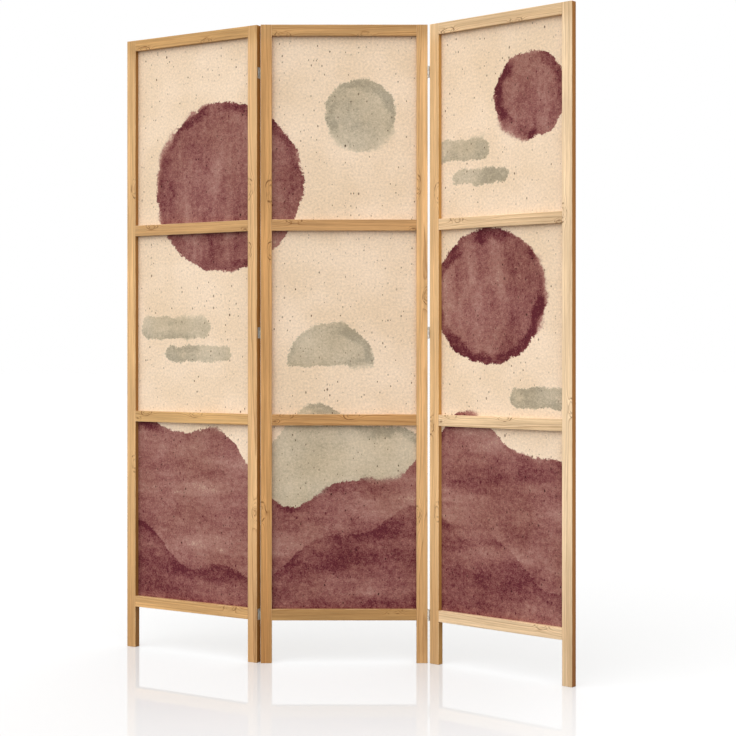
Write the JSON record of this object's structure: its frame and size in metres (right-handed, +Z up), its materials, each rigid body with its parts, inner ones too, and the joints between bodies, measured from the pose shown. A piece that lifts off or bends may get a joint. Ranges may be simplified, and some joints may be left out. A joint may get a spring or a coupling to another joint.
{
  "type": "folding screen",
  "caption": "Folding room divider: tall pine frames with cross rails in front of printed canvas, hinged edge to edge to fold like an accordion.",
  "frame": {"origin": "on the floor, under the centre of the box around the screen as it stands part open", "axes": "+X along the middle panel to the viewer's right, +Y away from the viewer through the panels, +Z up"},
  "size_m": [1.2072, 0.5406, 1.72],
  "materials": {
    "pine": "clear satin varnish",
    "strip_pine": "clear satin varnish",
    "dowel_beech": "bare",
    "canvas": "matte print",
    "hinge_steel": "zinc plated",
    "pin_steel": "plain",
    "screw_steel": "zinc plated",
    "brad_steel": "plain"
  },
  "bodies": {
    "left_panel": {"left_panel_outer_stile": "pine", "left_panel_inner_stile": "pine", "left_panel_top_rail": "pine", "left_panel_upper_rail": "pine", "left_panel_lower_rail": "pine", "left_panel_bottom_rail": "pine", "left_panel_canvas": "canvas", "left_panel_outer_strip": "strip_pine", "left_panel_inner_strip": "strip_pine", "left_panel_top_strip": "strip_pine", "left_panel_bottom_strip": "strip_pine", "left_panel_dowels": "dowel_beech", "left_panel_brads": "brad_steel", "left_top_hinge_moving_leaf": "hinge_steel", "left_middle_hinge_moving_leaf": "hinge_steel", "left_bottom_hinge_moving_leaf": "hinge_steel", "left_hinge_moving_screws": "screw_steel"},
    "middle_panel": {"middle_panel_left_stile": "pine", "middle_panel_right_stile": "pine", "middle_panel_top_rail": "pine", "middle_panel_upper_rail": "pine", "middle_panel_lower_rail": "pine", "middle_panel_bottom_rail": "pine", "middle_panel_canvas": "canvas", "middle_panel_left_strip": "strip_pine", "middle_panel_right_strip": "strip_pine", "middle_panel_top_strip": "strip_pine", "middle_panel_bottom_strip": "strip_pine", "middle_panel_dowels": "dowel_beech", "middle_panel_brads": "brad_steel", "left_top_hinge_fixed_leaf": "hinge_steel", "left_middle_hinge_fixed_leaf": "hinge_steel", "left_bottom_hinge_fixed_leaf": "hinge_steel", "left_hinge_pins": "pin_steel", "left_hinge_fixed_screws": "screw_steel", "right_top_hinge_fixed_leaf": "hinge_steel", "right_middle_hinge_fixed_leaf": "hinge_steel", "right_bottom_hinge_fixed_leaf": "hinge_steel", "right_hinge_pins": "pin_steel", "right_hinge_fixed_screws": "screw_steel"},
    "right_panel": {"right_panel_inner_stile": "pine", "right_panel_outer_stile": "pine", "right_panel_top_rail": "pine", "right_panel_upper_rail": "pine", "right_panel_lower_rail": "pine", "right_panel_bottom_rail": "pine", "right_panel_canvas": "canvas", "right_panel_inner_strip": "strip_pine", "right_panel_outer_strip": "strip_pine", "right_panel_top_strip": "strip_pine", "right_panel_bottom_strip": "strip_pine", "right_panel_dowels": "dowel_beech", "right_panel_brads": "brad_steel", "right_top_hinge_moving_leaf": "hinge_steel", "right_middle_hinge_moving_leaf": "hinge_steel", "right_bottom_hinge_moving_leaf": "hinge_steel", "right_hinge_moving_screws": "screw_steel"}
  },
  "joints": [
    {"name": "left_fold", "type": "hinge", "parent": "middle_panel", "child": "left_panel", "pos_m": [-0.20804, 0.03989, 0], "axis": [0, 0, -1], "range_deg": [-31, 149]},
    {"name": "right_fold", "type": "hinge", "parent": "middle_panel", "child": "right_panel", "pos_m": [0.24416, 0.01764, 0], "axis": [0, 0, -1], "range_deg": [-40, 140]}
  ]
}
